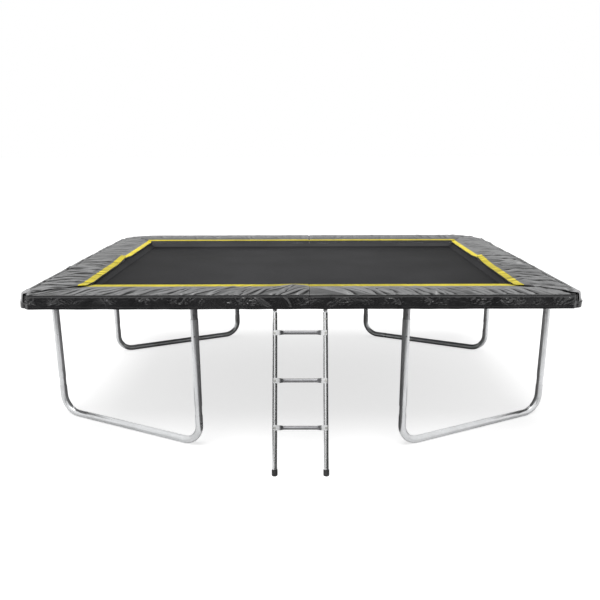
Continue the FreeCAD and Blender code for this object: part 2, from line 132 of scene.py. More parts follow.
def new_piece(name, points, faces, finishes):
    """A smooth mesh of points and faces, as an object in the scene."""
    mesh = bpy.data.meshes.new(name)
    mesh.from_pydata(points, [], faces)
    for finish in finishes:
        mesh.materials.append(finish)
    mesh.polygons.foreach_set("use_smooth", [True] * len(faces))
    mesh.update()
    piece = bpy.data.objects.new(name, mesh)
    bpy.context.collection.objects.link(piece)
    return piece


def level(x_from, x_to, y_from, y_to, z):
    """The corners of a level rectangle."""
    return [(x_from, y_from, z), (x_to, y_from, z), (x_to, y_to, z), (x_from, y_to, z)]


def upright(start, end, low, high):
    """The corners of an upright rectangle over the line from start to end."""
    return [(*start, low), (*end, low), (*end, high), (*start, high)]


world = bpy.data.worlds.new("studio")
bpy.context.scene.world = world
tree = bare_tree(world)
even_light = node(tree, "Background", {"Color": white, "Strength": sky_light})
backdrop = node(tree, "Background", {"Color": white, "Strength": 1.0})
seen = seen_by(tree, "Is Camera Ray", "Is Glossy Ray", "Is Transmission Ray")
node(tree, "OutputWorld", {"Surface": node(tree, "MixShader", {0: seen, 1: even_light, 2: backdrop})})

lamp = bpy.data.lights.new("overhead_lamp", "SUN")
lamp.energy = lamp_light
lamp.angle = lamp_spread
lamp_object = bpy.data.objects.new("overhead_lamp", lamp)
lamp_object.rotation_euler = lamp_lean
bpy.context.collection.objects.link(lamp_object)

# The camera sees a paler floor than the one that lights the object and shows in its steel.
floor_paint = bpy.data.materials.new("floor_paint")
tree = bare_tree(floor_paint)
plain = node(tree, "BsdfDiffuse", {"Color": (0.8, 0.8, 0.8, 1)})
shaded = node(tree, "BsdfDiffuse", {"Color": (0.50, 0.50, 0.50, 1)})
pale = node(tree, "AddShader", {0: shaded, 1: node(tree, "Emission", {"Color": white, "Strength": 0.66})})
seen = seen_by(tree, "Is Camera Ray", "Is Transmission Ray")
node(tree, "OutputMaterial", {"Surface": node(tree, "MixShader", {0: seen, 1: plain, 2: pale})})
floor_corners = level(-floor_reach, floor_reach, -floor_reach, floor_reach, 0)
new_piece("studio_floor", floor_corners, [(0, 1, 2, 3)], [floor_paint])


def card(name, corners, shade, glow=0.0):
    """A flat card of the studio that only shows in reflections."""
    finish = bpy.data.materials.new(name)
    tree = bare_tree(finish)
    matt = node(tree, "BsdfDiffuse", {"Color": (shade, shade, shade, 1)})
    light = node(tree, "Emission", {"Color": white, "Strength": glow})
    node(tree, "OutputMaterial", {"Surface": node(tree, "AddShader", {0: matt, 1: light})})
    made = new_piece(name, corners, [(0, 1, 2, 3)], [finish])
    made.visible_camera = False
    made.visible_shadow = False
    made.visible_diffuse = False
    made.visible_transmission = False


card("front_card", level(-4, 4, -7.5, -2.4, 0.012), 0.02)
card("front_screen", upright((-5, -7.5), (5, -7.5), 0, 1.6), 0.02)
card("ceiling_card", level(-7, 7, -0.6, 9.0, 4.6), 0.03)
card("under_card", level(-1.45, 1.45, -0.15, 1.35, 0.003), 0.14)
# The rail cards glow, though they are no lamps: painted reflections for the ground tubes to mirror.
for way in (-1, 1):
    card("rail_glow_card", level(0.70 * way, 1.42 * way, -1.25, -0.2, 0.30), 0.0, 0.97)

# Dark cards stand beside the leg tubes, in line with the camera, and lean beside the ladder's tubes.
card_aside = 0.045
card_behind = 0.06
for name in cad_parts:
    if name.startswith("leg_tube"):
        low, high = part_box(name)
        tube = (low.xy + high.xy) / 2
        sight = (tube - eye.xy).normalized()
        beside = tube - Vector((sight.y, -sight.x)) * math.copysign(card_aside, tube.x)
        card_before = 0.30 if "back" in name else (0.50 if "long" in name else 0.14)
        card("leg_card", upright(beside + sight * card_behind, beside - sight * card_before, 0.06, 0.84), 0.17)
foot_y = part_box("ladder_foot_cap_left")[0].y
for name in ("ladder_tube_left", "ladder_tube_right"):
    low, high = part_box(name)
    card_x = (low.x + high.x) / 2 + 0.030
    card("ladder_card", [(card_x, foot_y - 0.07, 0.0), (card_x, foot_y + 0.04, 0.0),
                         (card_x, foot_y + 0.46, 1.2), (card_x, foot_y + 0.33, 1.2)], 0.10)

# Top frame: corner tubes, rails and joiners
# Round steel tube, bent once at each corner and drawn down to push into the straight rails, all hot-dip
# galvanised after bending, which leaves a faint patchwork of zinc crystals and duller, chalky stretches.


def new_finish(name, colour, roughness, metallic=0.0, gloss=0.5):
    """A material with its even values on the shader's own sockets, and its node tree and shader."""
    finish = bpy.data.materials.new(name)
    finish.use_nodes = True
    finish.diffuse_color = (*colour, 1)
    shader = finish.node_tree.nodes["Principled BSDF"]
    feed(shader, {"Base Color": (*colour, 1), "Roughness": roughness, "Metallic": metallic,
                  "Specular IOR Level": gloss})
    return finish, finish.node_tree, shader


def two_tones(tree, value, dark, light, start, end):
    """A colour that is dark where a value is start, light where it is end, and runs between them."""
    ramp = node(tree, "ValToRGB", {0: value})
    for stop, place, colour in zip(ramp.color_ramp.elements, (start, end), (dark, light)):
        stop.position = place
        stop.color = (*colour, 1)
    return ramp


def zinc_finish(name, dark, light, crystal, roughness):
    """Galvanised steel: zinc crystals of one size in metres under broader chalky patches."""
    finish, tree, shader = new_finish(name, light, roughness, 1.0)
    place = node(tree, "TexCoord").outputs["Object"]
    crystals = node(tree, "TexVoronoi", {"Vector": place, "Scale": 1 / crystal})
    patches = node(tree, "TexNoise", {"Vector": place, "Scale": 9.0, "Detail": 4.0, "Roughness": 0.55})
    each = node(tree, "SeparateColor", {0: crystals.outputs["Color"]})
    tone = reckon(tree, "MULTIPLY_ADD", patches, 0.75, reckon(tree, "MULTIPLY_ADD", each, 0.10, 0.20))
    dull = node(tree, "MapRange", {"Value": tone, "From Min": 0.2, "From Max": 0.9,
                                   "To Min": roughness + 0.12, "To Max": roughness - 0.06})
    specks = node(tree, "TexNoise", {"Vector": place, "Scale": 700.0, "Detail": 3.0})
    rough = node(tree, "Bump", {"Strength": 0.05, "Distance": 0.0003, "Height": specks})
    edges = node(tree, "Bump", {"Strength": 0.04, "Distance": 0.0002, "Height": crystals, "Normal": rough})
    tones = two_tones(tree, tone, dark, light, 0.22, 0.85)
    feed(shader, {"Base Color": tones, "Roughness": dull, "Normal": edges})
    return finish


def dress(starts, finish):
    """Give a finish to the carried-over CAD pieces whose names start this way."""
    for name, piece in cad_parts.items():
        if name.startswith(starts):
            piece.data.materials.clear()
            piece.data.materials.append(finish)


frame_zinc = zinc_finish("frame_zinc", (0.42, 0.425, 0.43), (0.62, 0.63, 0.64), 0.009, 0.28)
dress(("corner_tube", "rail_"), frame_zinc)

# Legs: tubes, bases and sockets
# Four U-shaped legs of the same galvanised tube; each has two straight tubes pushed over sockets under the
# rails and a bent base, and small zinc-plated screws keep the tubes on their sockets.
leg_zinc = zinc_finish("leg_zinc", (0.56, 0.565, 0.57), (0.80, 0.81, 0.82), 0.007, 0.30)
socket_zinc = zinc_finish("socket_zinc", (0.24, 0.24, 0.245), (0.46, 0.46, 0.47), 0.008, 0.34)
screw_zinc = zinc_finish("screw_zinc", (0.40, 0.40, 0.38), (0.66, 0.66, 0.62), 0.003, 0.28)
dress(("leg_tube", "leg_base"), leg_zinc)
dress("leg_sockets", socket_zinc)
dress("leg_screws", screw_zinc)

# Jumping mat
# One sheet of black woven polypropylene, stretched level. Its middle moves with the jumper, and a border on
# each side slopes up from there to the springs, so it is built as a middle piece and four mitred borders.
mat_inset = 0.25
mat_z = 0.845
mat_half_sheet = 0.001
mat_unevenness = 0.0006
mat_point_gap = 0.0254
border_end = 0.85
still_at = 0.053
half_length = mat_high.x + mat_inset
half_width = (mat_high.y - mat_low.y) / 2 + mat_inset
side_lengths = {"front": 2 * half_length, "right": 2 * half_width,
                "back": 2 * half_length, "left": 2 * half_width}
side_starts = {
    "front": ((-half_length, pads_middle_y - half_width), (1, 0)),
    "right": ((half_length, pads_middle_y - half_width), (0, 1)),
    "back": ((half_length, pads_middle_y + half_width), (-1, 0)),
    "left": ((-half_length, pads_middle_y + half_width), (0, -1)),
}


def at(side, s, u, z):
    """Points s along one side, u inwards from the pads' edge and z above the floor; each may be an array."""
    corner, along = side_starts[side]
    s, u, z = np.broadcast_arrays(np.asarray(s, float), u, z)
    x = corner[0] + along[0] * s - along[1] * u
    y = corner[1] + along[1] * s + along[0] * u
    return np.stack((x, y, z), axis=-1)


def skin(name, rows, finishes, face_finish=None):
    """A closed mesh over rows of points: each row is a ring, and the first and the last are closed across.

    face_finish gives the number of the finish for each place round a ring.
    """
    count, across = rows.shape[:2]
    faces = []
    marks = []
    for i in range(count - 1):
        for j in range(across):
            k = (j + 1) % across
            faces.append((i * across + j, i * across + k, (i + 1) * across + k, (i + 1) * across + j))
            marks.append(j)
    for row in (0, count - 1):
        first = row * across
        for j in range(across // 2 - 1):
            a, b = first + j, first + j + 1
            c, d = first + across - 2 - j, first + across - 1 - j
            faces.append((a, d, c, b) if row == 0 else (a, b, c, d))
            marks.append(j)
    piece = new_piece(name, rows.reshape(-1, 3).tolist(), faces, finishes)
    if face_finish is not None:
        piece.data.polygons.foreach_set("material_index", [face_finish[j] for j in marks])
    piece.data.set_sharp_from_angle(angle=math.radians(55))
    return piece


def ripple(x, y, scale, seed):
    """Smooth waviness between about -1 and 1, the same wherever it is read, from a few crossed waves."""
    wander = np.random.default_rng(seed)
    waves = 7
    usual_sum = 2.65
    total = np.zeros(np.broadcast(x, y).shape)
    for _ in range(waves):
        angle = wander.uniform(0, math.pi)
        length = scale * wander.uniform(0.6, 1.7)
        start = wander.uniform(0, 6.3)
        total += np.sin((x * math.cos(angle) + y * math.sin(angle)) * 2 * math.pi / length + start)
    return total / usual_sum


def mat_height(points):
    """The mat's top, with the slight unevenness of a stretched weave."""
    return mat_z + mat_half_sheet + mat_unevenness * ripple(points[..., 0], points[..., 1], 0.5, 3)


def weave_finish(name, colour, thread, roughness, gloss):
    """A flat woven cloth of thick threads, thread metres apart, a little faded in broad patches."""
    finish, tree, shader = new_finish(name, colour, roughness, gloss=gloss)
    place = node(tree, "TexCoord").outputs["Object"]
    ways = []
    for angle in (0, math.pi / 2):
        across = node(tree, "Mapping", {"Vector": place, "Rotation": (0, 0, angle)})
        threads = node(tree, "TexWave", {"Vector": across, "Scale": 1 / (4 * math.pi * thread),
                                         "Distortion": 0.4, "Detail": 1.0, "Detail Scale": 2.0})
        ways.append(threads.outputs["Fac"])
    faded = node(tree, "TexNoise", {"Vector": place, "Scale": 2.2, "Detail": 4.0, "Roughness": 0.6})
    fine = node(tree, "TexNoise", {"Vector": place, "Scale": 260.0, "Detail": 2.0})
    tone = reckon(tree, "MULTIPLY_ADD", fine, 0.3, faded)
    dark = [c * 0.72 for c in colour]
    light = [c * 1.35 for c in colour]
    bump = node(tree, "Bump", {"Strength": 0.5, "Distance": 0.0004, "Height": reckon(tree, "MAXIMUM", *ways)})
    feed(shader, {"Base Color": two_tones(tree, tone, dark, light, 0.35, 1.0), "Normal": bump})
    return finish


def aside(tree):
    """Distance to the left or the right of the object's middle."""
    return reckon(tree, "ABSOLUTE", node(tree, "SeparateXYZ", {0: node(tree, "TexCoord").outputs["Object"]}))


def recolour(finish, share, colour, blend):
    """Blend one more colour into a finish's own, by a share and one of the ways of the mixing node."""
    shader = finish.node_tree.nodes["Principled BSDF"]
    own = shader.inputs["Base Color"].links[0].from_socket
    mixed = node(finish.node_tree, "MixRGB", {"Fac": share, "Color1": own, "Color2": colour}, blend_type=blend)
    feed(shader, {"Base Color": mixed})


def mat_piece(name, top):
    """A piece of the mat, both faces of it, from rows of places over it."""
    top[..., 2] = mat_height(top)
    under = top - (0, 0, 2 * mat_half_sheet)
    piece = skin(name, np.concatenate((top, under[::-1]), axis=0).transpose(1, 0, 2), [mat_weave])
    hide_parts("mat")
    return piece


def slope_with_mat(piece, side):
    """Bake a piece's placement into its points; the places at the rail and at the border's inner edge that it
    reckons are not used.
    """
    at(side, 0, still_at, 0)
    at(side, 0, border_end, 0)
    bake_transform(piece)


mat_weave = weave_finish("mat_weave", (0.027, 0.027, 0.0285), 0.0016, 0.62, 0.10)

# The middle is painted paler than the two ends, and the ends darker: painted sheen.
painted_middle_sheen = node(mat_weave.node_tree, "MapRange", {"Value": aside(mat_weave.node_tree), "From Min": 0.50,
                                              "From Max": 1.15, "To Min": 1.08, "To Max": 0.66})
recolour(mat_weave, 1.0, painted_middle_sheen, "MULTIPLY")
border_u = np.linspace(mat_inset, border_end, 31)[:, None]
for side, length in side_lengths.items():
    s = border_u + (length - 2 * border_u) * np.linspace(0, 1, round(length / mat_point_gap))
    border = mat_piece("mat_border_" + side, at(side, s, border_u, 0.0))
    slope_with_mat(border, side)
x = np.linspace(-half_length + border_end, half_length - border_end, round(2 * half_length / mat_point_gap))
y = np.linspace(-half_width + border_end, half_width - border_end, round(2 * half_width / mat_point_gap))
x, y = np.meshgrid(x, y + pads_middle_y)
middle = mat_piece("mat_middle", np.stack((x, y, 0 * x), axis=-1))
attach(middle, "mat")

# Hem, loops and rings of the mat
# Black webbing is doubled round the mat's edge with two rows of stitching, and a short loop of it holds a
# triangular ring of zinc-plated wire at each spring. All of it lies under the pads.
webbing = weave_finish("webbing", (0.014, 0.014, 0.015), 0.0024, 0.70, 0.15)
ring_zinc = zinc_finish("ring_zinc", (0.34, 0.34, 0.32), (0.66, 0.66, 0.62), 0.002, 0.30)
hem_width = 0.045
hem_sheet = 0.0013
hem_off_mat = 0.0004
pucker_height = 0.0004
pucker_length = 0.021
loop_width = 0.022
loop_sheet = 0.0012
loop_bend = 0.004
loop_corners = [(0.2856, 0.8489), (0.2440, 0.8489), (0.2415, mat_z), (0.2440, 0.8411), (0.2856, 0.8411)]
ring_wire = 0.002
ring_corners = [(-0.0162, 0.2450), (0.0162, 0.2450), (0.0036, 0.2210), (-0.0036, 0.2210)]
ring_bend = 0.004
springs_along = {"front": 14, "right": 9, "back": 14, "left": 9}
first_spring = 0.31


def spring_spots(side):
    """Distances along a side at which its springs lie."""
    length = side_lengths[side]
    return np.linspace(first_spring, length - first_spring, springs_along[side])


def sheet_piece(name, points, thick, finish):
    """A thin closed sheet with both its faces, over the rows of its middle."""
    out = np.cross(np.gradient(points, axis=0), np.gradient(points, axis=1))
    out /= np.maximum(np.linalg.norm(out, axis=-1, keepdims=True), 1e-9)
    rows = np.concatenate((points + out * thick / 2, (points - out * thick / 2)[:, ::-1]), axis=1)
    return skin(name, rows, [finish])


def strap(side, s, profile, width, thick):
    """A strap of webbing at one place along a side, through points that are in from the edge and up."""
    across = np.linspace(s - width / 2, s + width / 2, 4)
    return sheet_piece("strap", at(side, across, profile[:, :1], profile[:, 1:2]), thick, webbing)


def joined(name, parts):
    """Several meshes of like pieces as one object."""
    bpy.ops.object.select_all(action="DESELECT")
    for part in parts:
        part.select_set(True)
    bpy.context.view_layer.objects.active = parts[0]
    bpy.ops.object.join()
    parts[0].name = name
    return parts[0]


def wire(name, paths, radius, finish, sides=8, closed=False):
    """Round wires of one thickness through smooth paths of points."""
    verts = []
    faces = []
    turn = np.arange(sides)[:, None] * 2 * math.pi / sides
    for path in paths:
        run = np.roll(path, -1, 0) - np.roll(path, 1, 0) if closed else np.gradient(path, axis=0)
        run /= np.linalg.norm(run, axis=1, keepdims=True)
        normal = np.cross(run[0], (0, 0, 1) if abs(run[0][2]) < 0.9 else (1, 0, 0))
        normals = []
        for step in run:
            normal = normal - step * normal.dot(step)
            normal = normal / np.linalg.norm(normal)
            normals.append(normal)
        normals = np.array(normals)
        ring = np.cos(turn) * normals[:, None] + np.sin(turn) * np.cross(run, normals)[:, None]
        base = len(verts)
        count = len(path)
        verts += (path[:, None] + radius * ring).reshape(-1, 3).tolist()
        for i in range(count if closed else count - 1):
            a = base + i * sides
            b = base + (i + 1) % count * sides
            for j in range(sides):
                k = (j + 1) % sides
                faces.append((a + j, b + j, b + k, a + k))
        if not closed:
            faces.append([base + j for j in range(sides)])
            faces.append([base + (count - 1) * sides + j for j in reversed(range(sides))])
    return new_piece(name, verts, faces, [finish])


def rounded(corners, bend, steps=5, closed=False):
    """Points through corners, each corner rounded."""
    corners = [np.asarray(c, float) for c in corners]
    points = []
    count = len(corners)
    for i, corner in enumerate(corners):
        if not closed and i in (0, count - 1):
            points.append(corner)
            continue
        before = corners[i - 1] - corner
        after = corners[(i + 1) % count] - corner
        reach = min(bend, np.linalg.norm(before) * 0.49, np.linalg.norm(after) * 0.49)
        a = corner + before / np.linalg.norm(before) * reach
        b = corner + after / np.linalg.norm(after) * reach
        for t in np.linspace(0, 1, steps):
            points.append(a * (1 - t) ** 2 + corner * 2 * t * (1 - t) + b * t ** 2)
    return np.array(points)


loop_profile = rounded(loop_corners, loop_bend)
for side, length in side_lengths.items():
    u = np.linspace(mat_inset, mat_inset + hem_width, 5)[:, None]
    s = u + (length - 2 * u) * np.linspace(0, 1, 160)
    pucker = pucker_height * np.sin(s * 2 * math.pi / pucker_length) * np.array([0, 1, 0, -1, 0])[:, None]
    layers = []
    for way in (1, -1):
        layer = at(side, s, u, 0.0)
        off_middle = way * (mat_half_sheet + hem_sheet / 2 + hem_off_mat)
        layer[..., 2] = mat_height(layer) - mat_half_sheet + off_middle + pucker
        layers.append(sheet_piece("hem", layer.transpose(1, 0, 2)[::way], hem_sheet, webbing))
    hem = joined("mat_hem_" + side, layers)
    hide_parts("mat_hem")
    slope_with_mat(hem, side)
    loops = joined("mat_loops_" + side, [strap(side, s, loop_profile, loop_width, loop_sheet)
                                         for s in spring_spots(side)])
    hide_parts("mat_loops")
    slope_with_mat(loops, side)
    paths = [rounded([at(side, s + a, u, mat_z) for a, u in ring_corners], ring_bend, closed=True)
             for s in spring_spots(side)]
    rings = wire("mat_rings_" + side, paths, ring_wire, ring_zinc, closed=True)
    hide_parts("mat_rings")
    slope_with_mat(rings, side)

# Springs
# Close-wound coils of zinc-plated wire with a hook at each end, one through a hole in the rail's inner wall
# and one in the mat's ring.
spring_zinc = zinc_finish("spring_zinc", (0.36, 0.36, 0.34), (0.70, 0.70, 0.66), 0.002, 0.28)
spring_wire = 0.0019
spring_z = 0.84872
coil_r = 0.0091
coil_from = 0.0745
coil_to = 0.2032
coil_pitch = 0.00388
hook_down = 0.0095
hook_bend = 0.005
turn_steps = 9
turns = int((coil_to - coil_from) / coil_pitch)
along_coil = np.linspace(0, turns, turns * turn_steps + 1)
coil_u = coil_from + (coil_to - coil_from) * along_coil / turns
coil_angle = along_coil * 2 * math.pi
coil = np.stack((coil_u, coil_r * np.sin(coil_angle), coil_r * np.cos(coil_angle)), axis=1)
outer_hook = rounded([(0.0496, 0, -hook_down), (0.0496, 0, 0.0), (0.066, 0, 0.0), (0.0715, 0, 0.006),
                      (0.0738, -0.002, coil_r)], hook_bend)
inner_hook = rounded([(0.2038, 0.002, coil_r), (0.2062, 0, 0.006), (0.2115, 0, 0.0), (0.2235, 0, 0.0),
                      (0.2235, 0, -hook_down)], hook_bend)
one_spring = np.concatenate((outer_hook, coil, inner_hook))
for side in side_lengths:
    paths = [at(side, s + one_spring[:, 1], one_spring[:, 0], spring_z + one_spring[:, 2])
             for s in spring_spots(side)]
    springs = wire("springs_" + side + "_coils", paths, spring_wire, spring_zinc, sides=6)
    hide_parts("springs_" + side)
    slope_with_mat(springs, side)

# Pads
# Eight long pads of closed-cell foam in satin coated sheet, woven sheet below, with a yellow strip sewn along
# the inner edge. The side pads lie over the ends of the others, and their near halves over their far halves.
# The cover's grey is paler than the dark coated sheet itself: partly its own colour, partly painted sheen.
cover_grey_and_sheen = (0.156, 0.157, 0.158)
strip_yellow = (0.74, 0.60, 0.040)
pad_band = 0.300
pad_low = 0.8706
pad_high = 0.8868
pad_least = 0.0045
pad_crown = 0.0035
back_raised = 0.0065
inner_droop_from = 0.225
inner_droop_over = 0.075
corner_fall = 0.016
corner_gap = 0.002
far_end_over = 0.022
far_drawn_in = 0.046
near_widened = 0.018
lap_swell = 0.0150
seam_groove = 0.0055
lap = 0.045
lap_gap = 0.004
end_rounding = 0.010
seam_line = 0.050
stitch_length = 0.0052
stitch_half = 0.0009
curl_radius = 0.055
settle_most = 0.0055
settle_frames = 20
cover_cloth = {"quality": 4, "mass": 0.3, "tension_stiffness": 15, "compression_stiffness": 15,
               "shear_stiffness": 5, "bending_stiffness": 0.05, "shrink_min": -0.03, "use_pressure": True,
               "uniform_pressure_force": 4, "vertex_group_mass": "held"}
side_pads = ("right", "left")
front_cut = 0.085
back_cut = 0.105
cut_by_end = {"front": (front_cut, front_cut), "right": (front_cut, back_cut),
              "back": (back_cut, back_cut), "left": (back_cut, front_cut)}
pad_point_gap = {"front": 0.0042, "right": 0.0050, "back": 0.0090, "left": 0.0050}
wave_seed = {"front": 11, "right": 13, "back": 15, "left": 17}
halves = {"front": ("front_left", "front_right"), "right": ("right_front", "right_back"),
          "back": ("back_right", "back_left"), "left": ("left_back", "left_front")}
seam_at = {
    "front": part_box("pad_cover_front_left")[1].x + half_length,
    "right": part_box("pad_cover_right_front")[1].y - pads_middle_y + half_width,
    "back": half_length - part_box("pad_cover_back_right")[0].x,
    "left": pads_middle_y + half_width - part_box("pad_cover_left_back")[0].y,
}

# The folds of each side's two halves: seed, distance apart, width, height and slant; then how far in they lie.
pad_folds = {
    "front": ((21, 0.026, 0.0080, 0.0100, 0.85), (22, 0.027, 0.0080, 0.0095, -0.80)),
    "right": ((25, 0.042, 0.0135, 0.0085, 0.20), (26, 0.050, 0.0150, 0.0085, 0.20)),
    "back": ((23, 0.060, 0.0100, 0.0026, 0.10), (24, 0.060, 0.0100, 0.0026, -0.10)),
    "left": ((27, 0.042, 0.0135, 0.0085, -0.20), (28, 0.050, 0.0150, 0.0085, -0.20)),
}
folds_in = {"front": (0.0, 0.20), "right": (0.06, 0.26), "back": (0.05, 0.27), "left": (0.06, 0.26)}


def coated_finish(name, colour, roughness, creased, gloss, stitches=(), thread=None):
    """Coated sheet: fine scrim, a satin face, a little crumpled, with rows of stitches at set distances in;
    painted shade darkens it and painted sheen lightens it by its points' fold_shade_and_sheen.
    """
    finish, tree, shader = new_finish(name, colour, roughness, gloss=gloss)
    place = node(tree, "TexCoord").outputs["Object"]
    broad = node(tree, "TexNoise", {"Vector": place, "Scale": 6.0, "Detail": 5.0, "Roughness": 0.6})
    crumple = node(tree, "TexNoise", {"Vector": place, "Scale": 46.0, "Detail": 6.0, "Roughness": 0.55,
                                      "Distortion": 1.4})
    folds = node(tree, "TexVoronoi", {"Vector": place, "Scale": 30.0}, feature="DISTANCE_TO_EDGE")
    scrim = node(tree, "TexVoronoi", {"Vector": place, "Scale": 900.0, "Randomness": 0.25})
    tone = reckon(tree, "MULTIPLY_ADD", crumple, 0.5, broad)
    dark = [c * 0.74 for c in colour]
    light = [min(c * 1.26, 0.9) for c in colour]
    # Painted shade darkens the fold valleys and painted sheen lightens the crests, by each point's
    # fold_shade_and_sheen.
    painted_fold_light = node(tree, "Attribute", attribute_name="fold_shade_and_sheen").outputs["Fac"]
    painted_fold_light = node(tree, "MapRange", {"Value": painted_fold_light, "From Min": -0.003, "From Max": 0.003,
                                    "To Min": 0.12, "To Max": 1.45})
    shade = node(tree, "MixRGB", {"Fac": 1.0, "Color1": two_tones(tree, tone, dark, light, 0.45, 1.0),
                                  "Color2": painted_fold_light}, blend_type="MULTIPLY")
    dull = node(tree, "MapRange", {"Value": tone, "From Min": 0.4, "From Max": 1.0,
                                   "To Min": roughness - 0.07, "To Max": roughness + 0.12})
    soft = node(tree, "Bump", {"Strength": 0.35 * creased, "Distance": 0.004, "Height": crumple})
    sharp = node(tree, "Bump", {"Strength": 0.10 * creased, "Distance": 0.003, "Height": folds,
                                "Normal": soft})
    fine = node(tree, "Bump", {"Strength": 0.15, "Distance": 0.0003, "Height": scrim, "Normal": sharp})
    if stitches:
        lay = node(tree, "Attribute", attribute_name="lay").outputs["Vector"]
        lay = node(tree, "SeparateXYZ", {0: lay})
        beat = reckon(tree, "FRACT", reckon(tree, "DIVIDE", lay.outputs["X"], stitch_length))
        rows = 0.0
        for stitch in stitches:
            row = reckon(tree, "COMPARE", lay.outputs["Y"], stitch, stitch_half)
            rows = reckon(tree, "MAXIMUM", rows, row)
        sewn = reckon(tree, "MULTIPLY", rows, reckon(tree, "LESS_THAN", beat, 0.66))
        shade = node(tree, "MixRGB", {"Fac": sewn, "Color1": shade, "Color2": (*thread, 1)})
        fine = node(tree, "Bump", {"Strength": 0.8, "Distance": 0.0006, "Height": sewn, "Normal": fine})
    feed(shader, {"Base Color": shade, "Roughness": dull, "Normal": fine})
    return finish


cover_sheet = coated_finish("cover_sheet", cover_grey_and_sheen, 0.37, 1.2, 0.65, (0.046, 0.054), (0.02, 0.02, 0.02))
edging_sheet = coated_finish("edging_sheet", strip_yellow, 0.46, 0.5, 0.25, (0.2935,), (0.55, 0.44, 0.05))
backing_sheet = weave_finish("backing_sheet", (0.014, 0.014, 0.015), 0.0018, 0.7, 0.12)


def ease(value):
    """0 below 0, 1 above 1 and smooth between."""
    value = np.clip(value, 0, 1)
    return value * value * (3 - 2 * value)


def hump(off, wide):
    """A smooth hump, 1 where off is 0 and next to nothing from twice wide."""
    return np.exp(-(off / wide) ** 2)


def fading(off, over, power):
    """1 where off is 0 or less, falling to 0 where it is over, more steeply at first for a higher power."""
    return (1 - np.clip(off / over, 0, 1)) ** power


def from_front(side, s):
    """Distance of a place on a side pad from the corner at its front end."""
    return s if side == "right" else side_lengths[side] - s


def rim_from(side, s, u):
    """Distance of a place from the pads' outer edge, the cut corners included."""
    first, last = cut_by_end[side]
    return np.minimum(u, np.minimum(s + u - first, side_lengths[side] - s + u - last) / math.sqrt(2))


def rim_pull(side, s):
    """How far the outer edge draws in: on the far halves of the side pads, and at the far corners."""
    if side == "front":
        return 0.0
    if side == "back":
        return 0.012 * fading(np.minimum(s, side_lengths[side] - s) - back_cut, 0.2, 2)
    off = from_front(side, s)
    far = far_drawn_in * np.clip((off - seam_at["right"]) / 0.92, 0, 1) ** 1.15
    return far + 0.022 * fading(off - front_cut, 0.15, 2)


def folds_over(side, half, s, u):
    """Creases across one half of a side's pads: a low ridge each, with a sharp valley beside it."""
    seed, spacing, width, height, slant = pad_folds[side][half]
    pick = np.random.default_rng(seed)
    total = np.zeros(s.shape)
    place = seam_at[side] if half else (0.02 if side == "front" else 0.0)
    end = side_lengths[side] if half else seam_at[side]
    while place < end:
        place += spacing * pick.uniform(0.4, 1.7)
        lean = slant + pick.normal(0, 0.20)
        wide = width * pick.uniform(0.8, 1.5)
        tall = height * pick.uniform(0.3, 1.0)
        if side == "front":
            tall *= 0.75 + 0.45 * hump(place - seam_at[side], 0.45)
        middle = pick.uniform(*folds_in[side])
        reach = pick.uniform(0.05, 0.15)
        bow = pick.normal(0, 0.12)
        off = s - place - lean * (u - 0.17) - bow * (u - 0.17) ** 2 / 0.1
        ridge = hump(off, wide) - 0.85 * hump(off - 1.7 * wide, 0.75 * wide)
        total += tall * hump(u - middle, reach) * ridge
    return total


def side_pad_reach(u):
    """How far a side pad's front end lies past the corner's diagonal, over the front pad, at a distance in."""
    return 0.030 + 0.026 * ease((u - 0.08) / 0.12) - 0.030 * ease((u - 0.21) / 0.06)


def from_front_mitre(side, s, u):
    """Distance from a side pad's sloping front end; far off elsewhere."""
    far_off = 9.0
    return from_front(side, s) - u + side_pad_reach(u) if side in side_pads else np.full(s.shape, far_off)


